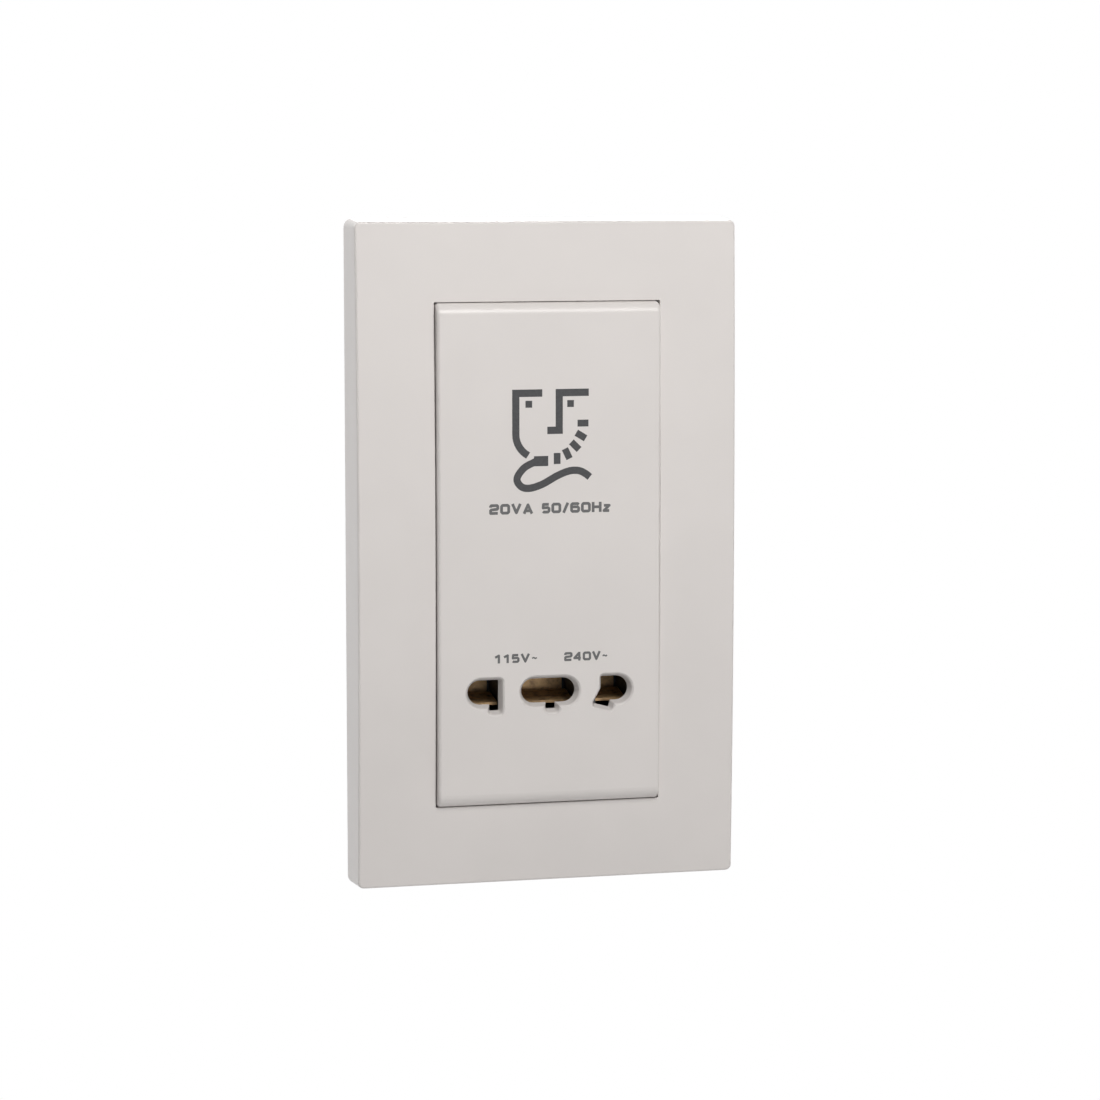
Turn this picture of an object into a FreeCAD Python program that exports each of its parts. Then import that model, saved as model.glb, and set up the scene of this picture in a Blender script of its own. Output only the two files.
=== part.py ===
# Shaver socket: a dual-voltage shaver supply unit on a vertical two-gang wall plate.
# Millimetres. X is to the right seen from the front, Y runs into the wall, Z is up.
# The origin is on the wall plane, midway between the two fixing screws.
import FreeCAD
import Part
import math
import os

V = FreeCAD.Vector

# Wall fixing: M3.5 screws into a two-gang box
fixing_pitch = 120.6
fixing_thread_r = 1.75
fixing_waist_r = 1.4
fixing_waist_past = 0.3
fixing_reach = 19.0
fixing_head_r = 3.3
fixing_head_t = 2.0
fixing_slot_r = 2.1
fixing_slot_play = 3.6
head_room = 0.3

# Module face and the plate around it
side_gap = 0.2
end_gap = 0.1
collar_t = 1.6
side_band = 17.8
end_margin = 12.7
plate_draft = 0.6
plate_end_depth = 9.2
plate_crown = 1.5
plate_wall = 2.2
plate_skin = 2.2
plate_corner_r = 1.9
plate_edge_r = 0.5
opening_corner_r = 0.2
opening_edge_r = 0.15
module_proud = 1.2
module_roll_r = 2.8
module_edge_r = 0.8
module_wall = 2.0
panel_t = 2.2

# Apertures: round pins of 5.08 mm, flat blades at 12.7 mm centres, one slanted blade
pin_d = 5.08
pin_clear = 0.24
aperture_drop = 30.0
aperture_end = 18.0
centre_half = 6.0
left_flat = 11.2
right_flat = 12.0
blade_pitch = 12.7
blade_slot_w = 2.0
notch_w = 2.05
slot_drop = 1.4
slant_slot_w = 3.6
slant_deg = 29.0
slant_foot_deg = 15.5
slant_run = 3.7
slant_widening = 1.1
aperture_corner_r = 0.25
aperture_flare = 0.75
lip_depth = 0.35
lip_spread = 0.25

# Support frame
frame_depth = 4.6
frame_web_t = 2.0
frame_wall = 2.0
frame_gap = 1.8
frame_boss_r = 6.0
frame_corner_r = 4.0
case_fit = 0.4
tongue_t = 1.6
tongue_w = 9.0
tongue_z = 45.0
tongue_play = 0.8
nib = 0.7
nib_len = 1.6

# Contacts and their carrier
carrier_depth = 16.5
carrier_wall = 1.2
carrier_half_h = 8.5
carrier_play = 0.4
carrier_floor = 2.2
rim_t = 1.1
rim_h = 3.0
contact_t = 0.6
contact_setback = 3.4
contact_mouth = 2.8
contact_throat = 1.4
contact_throat_share = 0.7
contact_root = 3.0
contact_bend_r = 1.2
contact_side = 0.6
cavity_side = 0.6
cavity_half_h = 4.9
tail_w = 3.0
tail_len = 5.9
tail_play = 0.2

# Rear case
case_inset = 2.2
case_inset_end = 3.5
case_wall = 2.0
case_edge_r = 1.2
flange_t = 2.2
notch = 7.5
latch_z = 28.0
latch_w = 8.0
latch_len = 2.2
partition_gap = 3.5
lower_depth = 22.0
vent_w = 13.0
vent_h = 1.8
vent_pitch = 4.2
vent_rows = 6

# Transformer: scrapless E and I laminations, sized by the case
core_side_gap = 0.8
core_stack = 20.0
leg_gap = 0.2
tube_t = 1.0
flange_over = 0.5
window_clear = 0.3
bobbin_flange_t = 1.0
winding_corner_r = 3.0
coil_setback = 8.7
coil_rear_gap = 1.6
bracket_t = 0.8
bracket_w = 24.0
bracket_foot_w = 12.0
bracket_lip = 6.2
pillar_w = 6.0
pillar_h = 5.0
cutout_w = 7.0
cutout_t = 3.0
cutout_h = 12.0

# Supply terminals
terminal_pitch = 13.0
terminal_w = 8.0
terminal_h = 9.0
terminal_d = 9.0
terminal_bore_r = 2.1
terminal_bore_floor = 1.4
terminal_entry_r = 2.7
terminal_drop = 33.0
terminal_play = 0.2
terminal_back_off = 0.4
clamp_screw_r = 1.7
clamp_head_r = 2.3
clamp_head_t = 1.7
block_wall = 1.8
block_floor = 1.5
block_recess = 2.5
block_foot = 7.5
block_foot_t = 2.2
block_foot_half_w = 11.0
block_screw_x = 6.5

# Small screws and leads
screw_r = 1.1
screw_head_r = 2.2
screw_head_t = 1.8
screw_bite = 0.75
driver_slot_share = 0.35
driver_slot_over = 0.3
thread_fit = 0.05
screw_hole_clear = 0.4
boss_wall = 1.3
lead_r = 0.6
lead_sides = 8
lead_bend = 1.5
lead_lift = 3.0
lead_hole_clear = 0.9
lead_pitch = 3.0
lead_core_gap = 1.0

# Values that follow from the sizes above
carrier_w = 2 * (aperture_end + contact_side + cavity_side + carrier_wall)
case_in_w = carrier_w + 2 * carrier_play
case_w = case_in_w + 2 * case_wall
module_w = case_w + 2 * case_inset
module_h = fixing_pitch - 2 * (fixing_head_r + head_room + collar_t + end_gap)
opening_w = module_w + 2 * side_gap
opening_h = module_h + 2 * end_gap
plate_w = opening_w + 2 * side_band
plate_h = fixing_pitch + 2 * end_margin
plate_mid_y = -(plate_end_depth + plate_crown)
crown_r = ((plate_h / 2) ** 2 + plate_crown ** 2) / (2 * plate_crown)
face_y = plate_mid_y - module_proud
panel_y = face_y + panel_t
frame_y = -frame_depth
web_y = frame_y + frame_web_t
hole_r = (pin_d + pin_clear) / 2
hole_z = -aperture_drop
case_h = module_h - 2 * case_inset_end
corner_x = (case_w - notch) / 2
corner_z = (case_h - notch) / 2
carrier_y = panel_y + carrier_depth
floor_y = carrier_y - carrier_floor
partition_z = hole_z + carrier_half_h + partition_gap
chamber_z0 = partition_z + case_wall
chamber_z1 = case_h / 2 - case_wall
core_u = (case_in_w - 2 * core_side_gap) / 5
core_z = (chamber_z0 + chamber_z1) / 2
flange_half = 2 * core_u - window_clear
winding_half = flange_half - flange_over
tube_half = core_u + leg_gap + tube_t
winding_build = winding_half - tube_half
tube_half_y = core_stack / 2 + leg_gap + tube_t
winding_half_y = tube_half_y + winding_build
flange_half_y = winding_half_y + flange_over
core_y = panel_y + coil_setback + flange_half_y
core_front = core_y - core_stack / 2
core_rear = core_y + core_stack / 2
case_in_rear = core_y + flange_half_y + coil_rear_gap
case_rear = case_in_rear + case_wall
lower_in_rear = lower_depth - case_wall
bobbin_half = 1.5 * core_u - leg_gap
boss_r = screw_r + thread_fit + boss_wall
foot_z = 3 * core_u + bracket_t + boss_r
terminal_z = -terminal_drop
terminal_y0 = lower_depth + block_floor
terminal_bore_y = terminal_y0 + terminal_bore_r + terminal_bore_floor
block_rear = terminal_y0 + terminal_d + block_recess
foot_screw_z = terminal_z - terminal_h / 2 - terminal_play - block_wall - block_foot / 2


def box(x0, x1, y0, y1, z0, z1):
    return Part.makeBox(x1 - x0, y1 - y0, z1 - z0, V(x0, y0, z0))


def slab(w, h, y0, y1, cx=0.0, cz=0.0):
    return box(cx - w / 2, cx + w / 2, y0, y1, cz - h / 2, cz + h / 2)


def rod(r, y0, y1, x, z):
    return Part.makeCylinder(r, y1 - y0, V(x, y0, z), V(0, 1, 0))


def driver_slot(head_r, head_t, y0, y1, x, z):
    return slab(2 * (head_r + driver_slot_over), driver_slot_share * head_t, y0, y1, x, z)


def tail_hole(y0, y1, x, z):
    return slab(tail_w + 2 * tail_play, contact_t + 2 * tail_play, y0, y1, x, z)


def fused(first, others):
    return first.multiFuse(others).removeSplitter()


def round_rect(w, h, r, y):
    a = w / 2
    b = h / 2
    k = r * (1 - math.sqrt(0.5))
    return Part.Wire([
        Part.makeLine(V(-a + r, y, -b), V(a - r, y, -b)),
        Part.Arc(V(a - r, y, -b), V(a - k, y, -b + k), V(a, y, -b + r)).toShape(),
        Part.makeLine(V(a, y, -b + r), V(a, y, b - r)),
        Part.Arc(V(a, y, b - r), V(a - k, y, b - k), V(a - r, y, b)).toShape(),
        Part.makeLine(V(a - r, y, b), V(-a + r, y, b)),
        Part.Arc(V(-a + r, y, b), V(-a + k, y, b - k), V(-a, y, b - r)).toShape(),
        Part.makeLine(V(-a, y, b - r), V(-a, y, -b + r)),
        Part.Arc(V(-a, y, -b + r), V(-a + k, y, -b + k), V(-a + r, y, -b)).toShape(),
    ])


def rounded_block(w, h, r, y0, y1):
    return Part.Face(round_rect(w, h, r, y0)).extrude(V(0, y1 - y0, 0))


def drafted_block(w, h, r, draft, y0, y1):
    rear = round_rect(w, h, r, y1)
    front = round_rect(w - 2 * draft, h - 2 * draft, r - draft, y0)
    return Part.makeLoft([rear, front], True, True)


def crown_limit(inset):
    r = crown_r - inset
    return Part.makeCylinder(r, 2 * plate_w, V(-plate_w, plate_mid_y + crown_r, 0), V(1, 0, 0))


def crown_edges(shape, inner):
    found = []
    for face in shape.Faces:
        if face.Surface.TypeId == "Part::GeomCylinder" and abs(face.Surface.Radius - crown_r) < 0.01:
            for wire in face.Wires:
                is_outer = wire.isSame(face.OuterWire)
                if is_outer != inner:
                    found += wire.Edges
    return found


def cover_plate():
    front = plate_mid_y - 1
    draft = plate_draft * front / -plate_end_depth
    body = drafted_block(plate_w, plate_h, plate_corner_r, draft, front, 0)
    body = body.common(crown_limit(0))
    body = body.makeFillet(plate_edge_r, crown_edges(body, False))
    body = body.cut(rounded_block(opening_w, opening_h, opening_corner_r, front, 1))
    body = body.makeFillet(opening_edge_r, crown_edges(body, True))
    room_w = plate_w - 2 * plate_wall
    room_h = plate_h - 2 * plate_wall
    room = drafted_block(room_w, room_h, plate_corner_r - plate_draft, draft, front, 0.0)
    room = room.common(crown_limit(plate_skin))
    collar = rounded_block(opening_w + 2 * collar_t, opening_h + 2 * collar_t, collar_t, front, frame_y)
    room = room.cut(collar)
    for sx in (-1, 1):
        for sz in (-1, 1):
            room = room.cut(plate_tongue(sx, sz * tongue_z))
    return body.cut(room)


def tongue_x():
    return (opening_w / 2 + collar_t + plate_w / 2 - plate_wall) / 2


def plate_tongue(side, z):
    x = tongue_x()
    stem = slab(tongue_t, tongue_w, plate_mid_y, web_y + nib_len, x, z)
    inner = x - tongue_t / 2
    wedge = Part.makePolygon([
        V(inner, web_y, z - tongue_w / 2),
        V(inner - nib - tongue_play, web_y, z - tongue_w / 2),
        V(inner, web_y + nib_len, z - tongue_w / 2),
        V(inner, web_y, z - tongue_w / 2),
    ])
    hook = Part.Face(wedge).extrude(V(0, 0, tongue_w))
    whole = fused(stem, [hook])
    if side < 0:
        whole = whole.mirror(V(0, 0, 0), V(1, 0, 0))
    return whole


def support_frame():
    w = plate_w - 2 * (plate_wall + frame_gap)
    h = plate_h - 2 * (plate_wall + frame_gap)
    body = rounded_block(w, h, frame_corner_r, frame_y, 0)
    hollow_r = frame_corner_r - frame_wall
    hollow = rounded_block(w - 2 * frame_wall, h - 2 * frame_wall, hollow_r, web_y, 0)
    open_w = case_w + 2 * case_fit
    open_h = case_h + 2 * case_fit
    for sz in (-1, 1):
        hollow = hollow.cut(rod(frame_boss_r, web_y, 0, 0, sz * fixing_pitch / 2))
        for sx in (-1, 1):
            rib_x = sx * (open_w / 2 + w / 2) / 2
            rib_w = (w - open_w) / 2 - 2 * collar_t
            rib = slab(rib_w + 2 * frame_wall, frame_wall, web_y, -case_fit, rib_x, sz * latch_z / 2)
            hollow = hollow.cut(rib)
    body = body.cut(hollow)
    body = body.cut(slab(open_w, open_h, frame_y, 0))
    for sz in (-1, 1):
        z = sz * fixing_pitch / 2
        ends = [rod(fixing_slot_r, frame_y, 0, s * fixing_slot_play / 2, z) for s in (-1, 1)]
        body = body.cut(fused(slab(fixing_slot_play, 2 * fixing_slot_r, frame_y, 0, 0, z), ends))
        for sx in (-1, 1):
            hole_w = tongue_t + 2 * tongue_play
            hole_h = tongue_w + 2 * tongue_play
            body = body.cut(slab(hole_w, hole_h, frame_y, web_y, sx * tongue_x(), sz * tongue_z))
    return body


def fixing_screw(z):
    head = rod(fixing_head_r, frame_y - fixing_head_t, frame_y, 0, z)
    rim = [e for e in head.Edges if abs(e.CenterOfMass.y - (frame_y - fixing_head_t)) < 0.001]
    head = head.makeChamfer(fixing_head_t / 3, rim)
    waist = rod(fixing_waist_r, frame_y, fixing_waist_past, 0, z)
    thread = rod(fixing_thread_r, fixing_waist_past, fixing_reach, 0, z)
    screw = fused(head, [waist, thread])
    top = frame_y - fixing_head_t
    return screw.cut(driver_slot(fixing_head_r, fixing_head_t, top, top + fixing_head_t / 2, 0, z))


def fixing_screws():
    return Part.makeCompound([fixing_screw(s * fixing_pitch / 2) for s in (-1, 1)])


def rounded_face_block():
    x = -module_w / 2
    top = module_h / 2
    r = module_roll_r
    k = r * (1 - math.sqrt(0.5))
    profile = Part.Wire([
        Part.makeLine(V(x, frame_y, -top), V(x, face_y + r, -top)),
        Part.Arc(V(x, face_y + r, -top), V(x, face_y + k, -top + k), V(x, face_y, -top + r)).toShape(),
        Part.makeLine(V(x, face_y, -top + r), V(x, face_y, top - r)),
        Part.Arc(V(x, face_y, top - r), V(x, face_y + k, top - k), V(x, face_y + r, top)).toShape(),
        Part.makeLine(V(x, face_y + r, top), V(x, frame_y, top)),
        Part.makeLine(V(x, frame_y, top), V(x, frame_y, -top)),
    ])
    block = Part.Face(profile).extrude(V(module_w, 0, 0))
    sides = []
    for edge in block.Edges:
        box_e = edge.BoundBox
        at_side = box_e.XLength < 0.001 and abs(abs(box_e.Center.x) - module_w / 2) < 0.001
        if at_side and box_e.YMin < frame_y - 0.001:
            sides.append(edge)
    return block.makeFillet(module_edge_r, sides)


def spread(y):
    lip = max(0.0, face_y + lip_depth - y) * lip_spread / lip_depth
    return aperture_flare * (panel_y - y) / panel_t + lip


def corner_arc(before, corner, after, r):
    u = (before - corner).normalize()
    w = (after - corner).normalize()
    half = u.getAngle(w) / 2
    run = r / math.tan(half)
    middle = (u + w).normalize() * (r / math.sin(half) - r)
    return corner + u * run, corner + middle, corner + w * run


def moved_out(before, corner, after, g):
    u = (corner - before).normalize()
    w = (after - corner).normalize()
    normals = V(u.z, 0, -u.x) + V(w.z, 0, -w.x)
    return corner + normals * (2 * g / normals.dot(normals))


def neighbours(points):
    return zip(points[-1:] + points[:-1], points, points[1:] + points[:1])


def soft_wire(outline, radii, y):
    g = spread(y)
    points = [V(x, y, z) for x, z in outline]
    grown = [moved_out(before, corner, after, g) for before, corner, after in neighbours(points)]
    arcs = [corner_arc(*three, r + g) for three, r in zip(neighbours(grown), radii)]
    edges = []
    for last, arc in zip(arcs[-1:] + arcs[:-1], arcs):
        if (arc[0] - last[2]).Length > 0.001:
            edges.append(Part.makeLine(last[2], arc[0]))
        edges.append(Part.Arc(*arc).toShape())
    return Part.Wire(edges)


def tapered(outline, radii):
    levels = [panel_y + panel_t / 4, face_y + lip_depth, face_y - lip_depth]
    return Part.makeLoft([soft_wire(outline, radii, y) for y in levels], True, True)


def outline_box(x0, x1, z0, z1):
    return [(x0, z0), (x1, z0), (x1, z1), (x0, z1)]


def slant_outline():
    lean = math.radians(slant_deg)
    foot = math.radians(slant_foot_deg)
    tip = (right_flat - slant_run * math.sin(lean), hole_z - slant_run * math.cos(lean))
    heel = (tip[0] + slant_slot_w * math.cos(foot), tip[1] - slant_slot_w * math.sin(foot))
    return [tip, heel, (heel[0] + slant_widening, hole_z), (right_flat, hole_z)]


def apertures():
    low = hole_z - hole_r
    high = hole_z + hole_r
    slot_x = -left_flat - blade_slot_w
    notch_x = slot_x + (blade_slot_w - notch_w) / 2 + blade_pitch
    r = hole_r
    c = aperture_corner_r
    tools = [
        tapered(outline_box(-aperture_end, -left_flat, low, high), (r, c, c, r)),
        tapered(outline_box(slot_x, -left_flat, low - slot_drop, hole_z), (c, c, c, c)),
        tapered(outline_box(-centre_half, centre_half, low, high), (r, r, r, r)),
        tapered(outline_box(notch_x, notch_x + notch_w, low - slot_drop, hole_z), (c, c, c, c)),
        tapered(outline_box(right_flat, aperture_end, low, high), (c, r, r, c)),
        tapered(slant_outline(), (c, c, c, c)),
    ]
    return fused(tools[0], tools[1:])


def socket_face():
    body = rounded_face_block()
    hollow = slab(module_w - 2 * module_wall, module_h - 2 * module_wall, panel_y, frame_y)
    reach = panel_y + rim_h
    rim_w = carrier_w + 2 * tail_play
    rim_z = 2 * carrier_half_h + 2 * tail_play
    rim = slab(rim_w + 2 * rim_t, rim_z + 2 * rim_t, panel_y, reach, 0, hole_z)
    rim = rim.cut(slab(rim_w, rim_z, panel_y, reach, 0, hole_z))
    hollow = hollow.cut(rim)
    for x, z in corners():
        hollow = hollow.cut(rod(boss_r + thread_fit, panel_y, frame_y, x, z))
    body = body.cut(hollow)
    for x, z in corners():
        body = body.cut(rod(screw_r + thread_fit, panel_y + thread_fit, frame_y, x, z))
    return body.cut(apertures())


def corners():
    return [(sx * corner_x, sz * corner_z) for sx in (-1, 1) for sz in (-1, 1)]


def contact_spans():
    left = (-aperture_end - contact_side, -left_flat + contact_side)
    centre = (-centre_half - contact_side, centre_half + contact_side)
    right = (right_flat - contact_side, aperture_end + contact_side)
    return [left, centre, right]


def span_middle(span):
    return (span[0] + span[1]) / 2


def contact_carrier():
    body = slab(carrier_w, 2 * carrier_half_h, panel_y, carrier_y, 0, hole_z)
    uprights = [e for e in body.Edges if e.BoundBox.YLength > carrier_depth / 2]
    body = body.makeFillet(carrier_wall / 2, uprights)
    for span in contact_spans():
        x0 = span[0] - cavity_side
        x1 = span[1] + cavity_side
        body = body.cut(box(x0, x1, panel_y, floor_y, hole_z - cavity_half_h, hole_z + cavity_half_h))
        body = body.cut(tail_hole(floor_y, carrier_y, span_middle(span), hole_z))
    return body


def contact(span):
    mouth_y = panel_y + contact_setback
    back_y = floor_y - contact_t
    throat_y = mouth_y + contact_throat_share * (back_y - mouth_y)
    pieces = []
    for s in (-1, 1):
        inner = [(mouth_y, contact_mouth), (throat_y, contact_throat), (back_y, contact_root)]
        outer = [(y, h + contact_t) for y, h in reversed(inner)]
        points = [V(span[0], y, hole_z + s * h) for y, h in inner + outer]
        leaf = Part.Face(Part.makePolygon(points + points[:1])).extrude(V(span[1] - span[0], 0, 0))
        inner_bend = (contact_throat, contact_bend_r + contact_t)
        outer_bend = (contact_throat + contact_t, contact_bend_r)
        for level, bend in (inner_bend, outer_bend):
            z = hole_z + s * level
            across = [e for e in leaf.Edges if e.BoundBox.XLength > 1 and abs(e.CenterOfMass.z - z) < 0.001]
            leaf = leaf.makeFillet(bend, [e for e in across if abs(e.CenterOfMass.y - throat_y) < 0.001])
        pieces.append(leaf)
    half = contact_root + contact_t
    back = box(span[0], span[1], back_y, floor_y, hole_z - half, hole_z + half)
    tail = slab(tail_w, contact_t, floor_y, floor_y + tail_len, span_middle(span), hole_z)
    return fused(back, pieces + [tail])


def case_latch(side, z):
    x = case_w / 2
    wedge = Part.makePolygon([
        V(x, web_y, z - latch_w / 2),
        V(x + case_fit + nib, web_y, z - latch_w / 2),
        V(x, web_y + latch_len, z - latch_w / 2),
        V(x, web_y, z - latch_w / 2),
    ])
    wedge = Part.Face(wedge).extrude(V(0, 0, latch_w))
    if side < 0:
        wedge = wedge.mirror(V(0, 0, 0), V(1, 0, 0))
    return wedge


def case_edge_is_rounded(edge):
    box_e = edge.BoundBox
    behind_flange = box_e.YMin > frame_y + flange_t - 0.001
    runs_back = box_e.YLength > notch
    at_rear = box_e.YLength < 0.001 and box_e.YMin > lower_in_rear
    inside_corner = at_rear and abs(box_e.YMin - lower_depth) < 0.001 and box_e.ZMin > partition_z - 0.001
    return behind_flange and (runs_back or at_rear) and not inside_corner


def rear_case():
    half_w = case_w / 2
    half_h = case_h / 2
    upper = box(-half_w, half_w, frame_y, case_rear, partition_z, half_h)
    lower = box(-half_w, half_w, frame_y, lower_depth, -half_h, partition_z)
    body = fused(upper, [lower])
    for x, z in corners():
        body = body.cut(slab(notch, notch, frame_y + flange_t, case_rear, x, z))
    body = body.makeFillet(case_edge_r, [e for e in body.Edges if case_edge_is_rounded(e)])
    in_w = case_in_w / 2
    upper_room = box(-in_w, in_w, frame_y, case_in_rear, chamber_z0, chamber_z1)
    lower_room = box(-in_w, in_w, frame_y, lower_in_rear, -chamber_z1, partition_z)
    keep = notch + case_wall
    for x, z in corners():
        sx = math.copysign(1, x)
        sz = math.copysign(1, z)
        solid_x = sx * (half_w - keep / 2)
        solid_z = sz * (half_h - keep / 2)
        solid = slab(keep, keep, frame_y, case_rear, solid_x, solid_z)
        upper_room = upper_room.cut(solid)
        lower_room = lower_room.cut(solid)
        body = body.cut(rod(screw_r + screw_hole_clear, frame_y, frame_y + flange_t, x, z))
    for sz in (-1, 1):
        upper_room = upper_room.cut(rod(boss_r, core_rear + bracket_t, case_in_rear, 0, core_z + sz * foot_z))
        for sx in (-1, 1):
            px = sx * (2.5 * core_u - pillar_w / 2 - core_side_gap)
            pz = core_z + sz * 2.5 * core_u
            upper_room = upper_room.cut(slab(pillar_w, pillar_h, core_rear, case_in_rear, px, pz))
    for sx in (-1, 1):
        rib_x = sx * (centre_half + contact_side + cavity_side + case_wall / 2)
        rib = box(rib_x - case_wall / 2, rib_x + case_wall / 2, carrier_y, lower_in_rear,
                  hole_z - carrier_half_h + carrier_wall, hole_z - 2 * tail_play)
        lower_room = lower_room.cut(rib)
        boss = rod(boss_r, lower_in_rear - notch, lower_in_rear, sx * block_screw_x, foot_screw_z)
        lower_room = lower_room.cut(boss)
    body = body.cut(upper_room).cut(lower_room)
    latches = [case_latch(sx, sz * latch_z) for sx in (-1, 1) for sz in (-1, 1)]
    body = fused(body, latches)
    cuts = case_openings()
    return body.cut(fused(cuts[0], cuts[1:]))


def case_openings():
    cuts = []
    for sx in (-1, 1):
        for row in range(vent_rows):
            z = core_z + (row - (vent_rows - 1) / 2) * vent_pitch
            x = sx * (vent_w / 2 + case_wall)
            cuts.append(slab(vent_w, vent_h, case_in_rear, case_rear, x, z))
    for sz in (-1, 1):
        z = core_z + sz * foot_z
        cuts.append(rod(screw_r + thread_fit, core_rear + bracket_t, case_in_rear, 0, z))
    hole = lead_r + lead_hole_clear
    spans = [span_middle(s) for s in contact_spans()]
    y = tail_lead_y()
    cuts.append(box(spans[0] - hole, spans[2] + hole, y - hole, y + hole, partition_z, chamber_z0))
    for sx in (-1, 1):
        x = sx * terminal_pitch
        y = terminal_lead_y()
        cuts.append(box(x - hole, x + hole, y - hole, y + hole, partition_z, chamber_z0))
        cuts.append(tail_hole(lower_in_rear, lower_depth, x, terminal_z))
        screw_x = sx * block_screw_x
        cuts.append(rod(screw_r + thread_fit, lower_in_rear - notch, lower_depth, screw_x, foot_screw_z))
    return cuts


def small_screw(head_y, length, x, z, toward):
    low = min(head_y, head_y + toward * length)
    high = max(head_y, head_y + toward * length)
    shank = rod(screw_r, low, high, x, z)
    head_low = min(head_y, head_y - toward * screw_head_t)
    head = rod(screw_head_r, head_low, head_low + screw_head_t, x, z)
    outer_y = head_y - toward * screw_head_t
    slot_low = min(outer_y, outer_y + toward * screw_head_t / 2)
    slot = driver_slot(screw_head_r, screw_head_t, slot_low, slot_low + screw_head_t / 2, x, z)
    return fused(head, [shank]).cut(slot)


def case_screws():
    length = flange_t + frame_y - panel_y - 2 * thread_fit - screw_hole_clear
    return Part.makeCompound([small_screw(frame_y + flange_t, length, x, z, -1) for x, z in corners()])


def bracket_screws():
    length = bracket_t + (case_in_rear - core_rear - bracket_t) * screw_bite
    return Part.makeCompound([small_screw(core_rear, length, 0, core_z + s * foot_z, 1) for s in (-1, 1)])


def block_screws():
    length = block_foot_t + case_wall + notch * screw_bite
    head_y = lower_depth + block_foot_t
    places = [s * block_screw_x for s in (-1, 1)]
    return Part.makeCompound([small_screw(head_y, length, x, foot_screw_z, -1) for x in places])


def core_bar(x0, x1, z0, z1):
    return box(x0 * core_u, x1 * core_u, core_front, core_rear, core_z + z0 * core_u, core_z + z1 * core_u)


def core_e_stack():
    return fused(core_bar(-2.5, -1.5, -3, 3), [
        core_bar(-1.5, 1.5, -3, -2),
        core_bar(-1.5, 1.5, -1, 1),
        core_bar(-1.5, 1.5, 2, 3),
    ])


def core_i_stack():
    return core_bar(1.5, 2.5, -3, 3)


def coil_block(x0, x1, half_y, half_z, r):
    block = box(x0, x1, core_y - half_y, core_y + half_y, core_z - half_z, core_z + half_z)
    if r > 0:
        block = block.makeFillet(r, [e for e in block.Edges if e.BoundBox.XLength > (x1 - x0) / 2])
    return block


def bobbin():
    t = bobbin_flange_t
    middles = [-bobbin_half + t / 2, 0.0, bobbin_half - t / 2]
    flanges = [coil_block(x - t / 2, x + t / 2, flange_half_y, flange_half, tube_t) for x in middles]
    tube = coil_block(-bobbin_half, bobbin_half, tube_half_y, tube_half, 0)
    leg = coil_block(-bobbin_half, bobbin_half, core_stack / 2 + leg_gap, core_u + leg_gap, 0)
    return fused(tube, flanges).cut(leg)


def winding(x0, x1):
    outside = coil_block(x0, x1, winding_half_y, winding_half, winding_corner_r)
    return outside.cut(coil_block(x0, x1, tube_half_y, tube_half, 0))


def primary_winding():
    return winding(-bobbin_half + bobbin_flange_t, -bobbin_flange_t / 2)


def secondary_winding():
    return winding(bobbin_flange_t / 2, bobbin_half - bobbin_flange_t)


def core_bracket(side):
    t = bracket_t
    edge = 3 * core_u
    half = bracket_w / 2
    lip = box(-half, half, core_front - t, core_front, edge - bracket_lip, edge + t)
    web = box(-half, half, core_front - t, core_rear + t, edge, edge + t)
    foot_half = bracket_foot_w / 2
    foot = box(-foot_half, foot_half, core_rear, core_rear + t, edge, foot_z + boss_r)
    piece = fused(lip, [web, foot])
    piece = piece.cut(rod(screw_r + screw_hole_clear, core_rear, core_rear + t, 0, foot_z))
    if side < 0:
        piece = piece.mirror(V(0, 0, 0), V(0, 0, 1))
    piece.translate(V(0, 0, core_z))
    return piece


def winding_front():
    return core_y - winding_half_y


def cutout_x():
    return -bobbin_half + bobbin_flange_t + cutout_w / 2 + leg_gap


def thermal_cutout():
    body = slab(cutout_w, cutout_h, winding_front() - cutout_t, winding_front(), cutout_x(), core_z)
    return body.makeFillet(cutout_t / 4, [e for e in body.Edges if e.BoundBox.ZLength > cutout_h / 2])


def terminals_x():
    return [-terminal_pitch, 0.0, terminal_pitch]


def terminal_block():
    half_w = terminal_pitch + terminal_w / 2 + terminal_play + block_wall
    half_h = terminal_h / 2 + terminal_play + block_wall
    body = slab(2 * half_w, 2 * half_h, lower_depth, block_rear, 0, terminal_z)
    foot_z0 = terminal_z - half_h - block_foot
    foot_y1 = lower_depth + block_foot_t
    foot = box(-block_foot_half_w, block_foot_half_w, lower_depth, foot_y1, foot_z0, terminal_z - half_h)
    body = fused(body, [foot])
    for x in terminals_x():
        well_w = terminal_w + 2 * terminal_play
        well_h = terminal_h + 2 * terminal_play
        body = body.cut(slab(well_w, well_h, terminal_y0, block_rear, x, terminal_z))
        start = V(x, terminal_bore_y, terminal_z - half_h)
        body = body.cut(Part.makeCylinder(terminal_entry_r, block_wall, start, V(0, 0, 1)))
        if x != 0:
            body = body.cut(tail_hole(lower_depth, terminal_y0, x, terminal_z))
    for sx in (-1, 1):
        hole_r_foot = screw_r + screw_hole_clear
        body = body.cut(rod(hole_r_foot, lower_depth, foot_y1, sx * block_screw_x, foot_screw_z))
    return body


def terminal(x, has_tail):
    body = slab(terminal_w, terminal_h, terminal_y0, terminal_y0 + terminal_d, x, terminal_z)
    if has_tail:
        tail = slab(tail_w, contact_t, terminal_lead_y() - tail_w / 2, terminal_y0, x, terminal_z)
        body = fused(body, [tail])
    start = V(x, terminal_bore_y, terminal_z - terminal_h / 2)
    body = body.cut(Part.makeCylinder(terminal_bore_r, terminal_h, start, V(0, 0, 1)))
    return body.cut(rod(clamp_screw_r + thread_fit, terminal_bore_y, terminal_y0 + terminal_d, x, terminal_z))


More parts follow.
